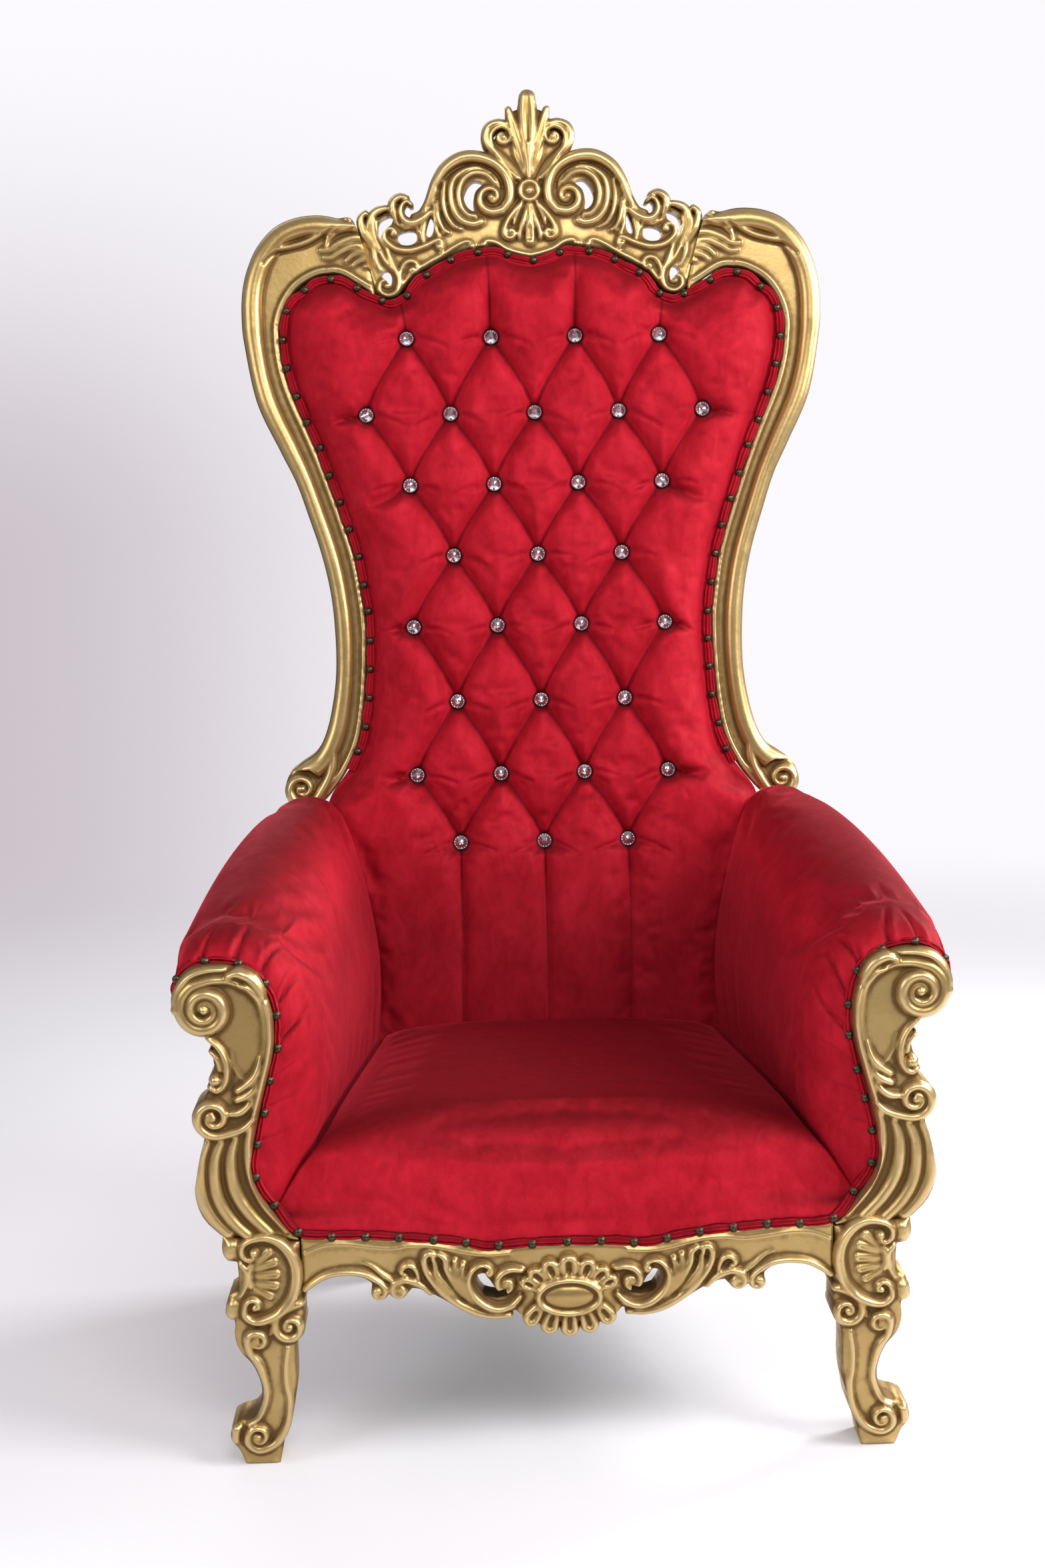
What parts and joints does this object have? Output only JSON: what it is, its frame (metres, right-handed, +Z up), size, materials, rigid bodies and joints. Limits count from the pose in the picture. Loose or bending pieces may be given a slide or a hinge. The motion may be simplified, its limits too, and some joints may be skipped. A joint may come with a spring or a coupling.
{
  "type": "throne armchair",
  "caption": "High-back throne armchair with a gilded carved frame, pierced crest, diamond-tufted velvet back with crystal buttons, rolled arms and cabriole front legs.",
  "frame": {"origin": "on the floor, in the middle of the chair's box seen from above", "axes": "+Z up, the chair faces -Y, +X is the right-hand side seen from the front"},
  "size_m": [0.98, 0.84, 1.83],
  "materials": {
    "antique_gold": "carved wood under satin antique-gold paint with a brown glaze in the recesses",
    "crimson_velvet": "crimson short-pile velvet over foam",
    "frame_wood": "plain sawn hardwood and plywood",
    "black_lining": "thin black non-woven lining",
    "crystal": "faceted clear crystal in a bright cup",
    "nail_bronze": "dark antique-bronze domed nail heads"
  },
  "bodies": {
    "root": {"front_leg_left": "antique_gold", "front_leg_right": "antique_gold", "arm_post_left": "antique_gold", "arm_post_right": "antique_gold", "front_apron": "antique_gold", "apron_medallion": "antique_gold", "back_stile_left": "antique_gold", "back_stile_right": "antique_gold", "crest_rail": "antique_gold", "crest_rosette": "antique_gold", "rear_post_left": "antique_gold", "rear_post_right": "antique_gold", "side_rail_left": "antique_gold", "side_rail_right": "antique_gold", "rear_rail": "antique_gold", "back_cushion": "crimson_velvet", "seat_cushion": "crimson_velvet", "arm_pad_left": "crimson_velvet", "arm_pad_right": "crimson_velvet", "outside_arm_left": "crimson_velvet", "outside_arm_right": "crimson_velvet", "outside_back": "crimson_velvet", "back_welt": "crimson_velvet", "front_welt": "crimson_velvet", "back_rail_lower": "frame_wood", "back_rail_upper": "frame_wood", "corner_block_left": "frame_wood", "corner_block_right": "frame_wood", "seat_deck": "frame_wood", "dust_cover": "black_lining", "tuft_button_01": "crystal", "tuft_button_02": "crystal", "tuft_button_03": "crystal", "tuft_button_04": "crystal", "tuft_button_05": "crystal", "tuft_button_06": "crystal", "tuft_button_07": "crystal", "tuft_button_08": "crystal", "tuft_button_09": "crystal", "tuft_button_10": "crystal", "tuft_button_11": "crystal", "tuft_button_12": "crystal", "tuft_button_13": "crystal", "tuft_button_14": "crystal", "tuft_button_15": "crystal", "tuft_button_16": "crystal", "tuft_button_17": "crystal", "tuft_button_18": "crystal", "tuft_button_19": "crystal", "tuft_button_20": "crystal", "tuft_button_21": "crystal", "tuft_button_22": "crystal", "tuft_button_23": "crystal", "tuft_button_24": "crystal", "tuft_button_25": "crystal", "tuft_button_26": "crystal", "tuft_button_27": "crystal", "tuft_button_28": "crystal", "tuft_button_29": "crystal", "tuft_button_30": "crystal"}
  },
  "joints": []
}
